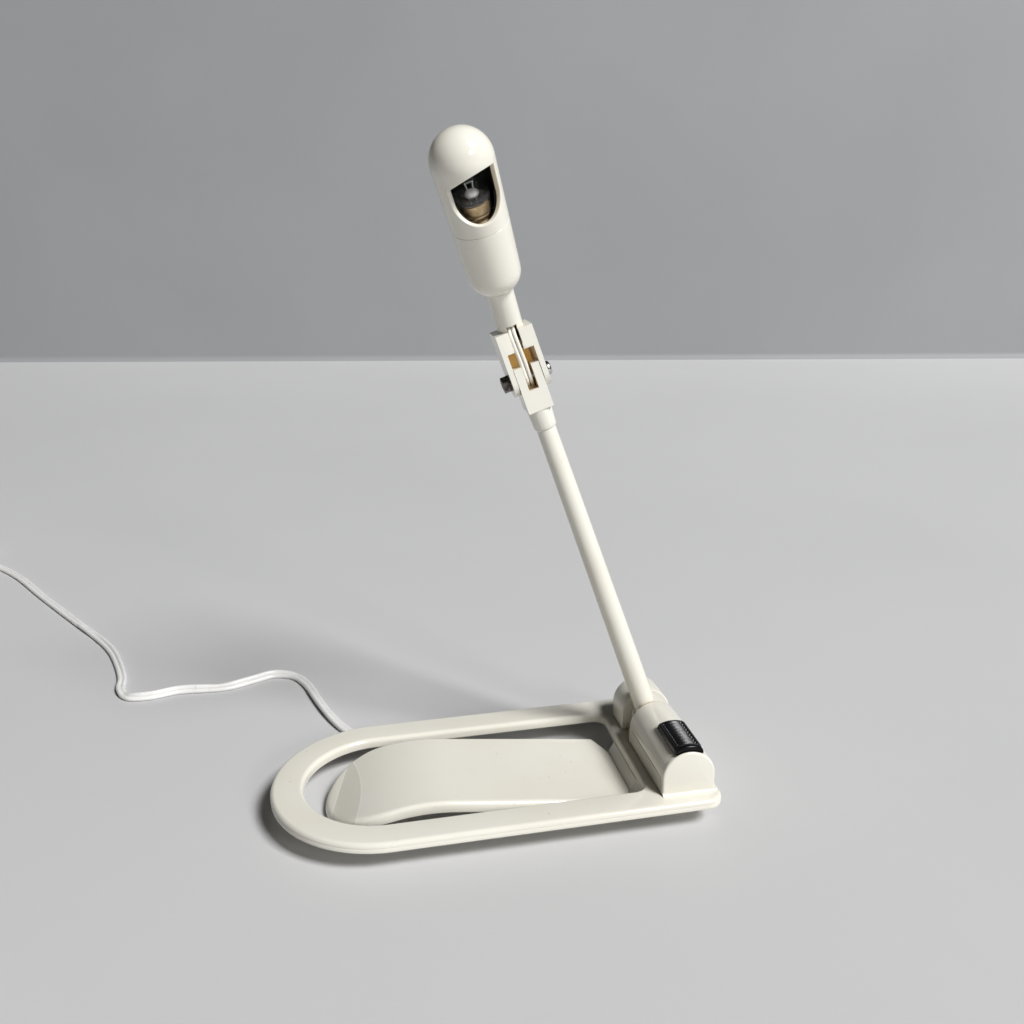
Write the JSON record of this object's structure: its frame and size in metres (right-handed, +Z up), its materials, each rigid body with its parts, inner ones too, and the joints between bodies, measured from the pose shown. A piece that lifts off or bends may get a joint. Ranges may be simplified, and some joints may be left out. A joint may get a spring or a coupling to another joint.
{
  "type": "clip-on book light",
  "caption": "Clip-on reading light: open clip frame with a sprung tongue, hinged arm, friction elbow and capsule head whose windowed shade turns round a small bulb, with slide switch and cord.",
  "frame": {"origin": "on the table, below the middle of the clip frame", "axes": "+X from the clip's round end to the hinge, +Y from the switch side to the cord side, +Z up"},
  "size_m": [0.443, 0.4348, 0.2592],
  "materials": {
    "ivory_plastic": "smooth moulded, slightly aged",
    "black_plastic": "smooth moulded",
    "phenolic": "matt moulded",
    "nylon": "matt",
    "white_pvc": "soft satin",
    "steel": "plated",
    "dark_steel": "blackened",
    "brass": "rolled, dull",
    "clear_glass": "clear"
  },
  "bodies": {
    "base": {"clip_frame": "ivory_plastic", "switch_cover": "ivory_plastic", "tray": "ivory_plastic", "tray_screws": "steel", "switch_body": "phenolic", "switch_contacts": "brass", "cord_bush": "white_pvc", "inner_leads": "white_pvc", "lead_joint": "nylon", "hinge_bolt": "steel", "hinge_nut": "steel", "friction_washers": "nylon", "cord_run": "white_pvc", "cord_coil": "white_pvc", "coil_tie": "black_plastic", "plug_body": "white_pvc", "plug_pins": "brass"},
    "tongue": {"clip_tongue": "ivory_plastic"},
    "slider": {"switch_slider": "black_plastic"},
    "arm": {"arm_hub": "ivory_plastic", "arm_tube": "ivory_plastic", "arm_leads": "white_pvc", "elbow_block": "ivory_plastic"},
    "head": {"elbow_yoke": "ivory_plastic", "elbow_leads": "white_pvc", "head_leads": "white_pvc", "elbow_screw": "steel", "elbow_washer": "dark_steel", "elbow_nut": "dark_steel", "lamp_cup": "ivory_plastic", "lamp_holder": "phenolic", "holder_shell": "brass", "centre_contact": "brass", "bulb_cap": "brass", "bulb_base": "phenolic", "bulb_glass": "clear_glass", "bulb_filament": "steel"},
    "shade": {"lamp_shade": "ivory_plastic", "shade_liner": "dark_steel"}
  },
  "joints": [
    {"name": "tongue_flex", "type": "hinge", "parent": "base", "child": "tongue", "pos_m": [0.0558, 0, 0], "axis": [0, -1, 0], "range_deg": [0, 6], "stiffness_Nm_per_rad": 2.9, "springref_deg": -1.72},
    {"name": "switch_slide", "type": "slide", "parent": "base", "child": "slider", "axis": [0, 1, 0], "range_m": [0, 0.004]},
    {"name": "arm_fold", "type": "hinge", "parent": "base", "child": "arm", "pos_m": [0.0733, 0.01, 0.0203], "axis": [0, -1, 0], "range_deg": [-35, 68]},
    {"name": "elbow_tilt", "type": "hinge", "parent": "arm", "child": "head", "pos_m": [0.02108, 0.01, 0.17111], "axis": [0.9449, 0, 0.3272], "range_deg": [-55, 88], "deforming": ["elbow_leads"]},
    {"name": "shade_turn", "type": "hinge", "parent": "head", "child": "shade", "pos_m": [0.00363, -0.00306, 0.22148], "axis": [-0.3034, -0.3746, 0.8761], "continuous": true}
  ]
}
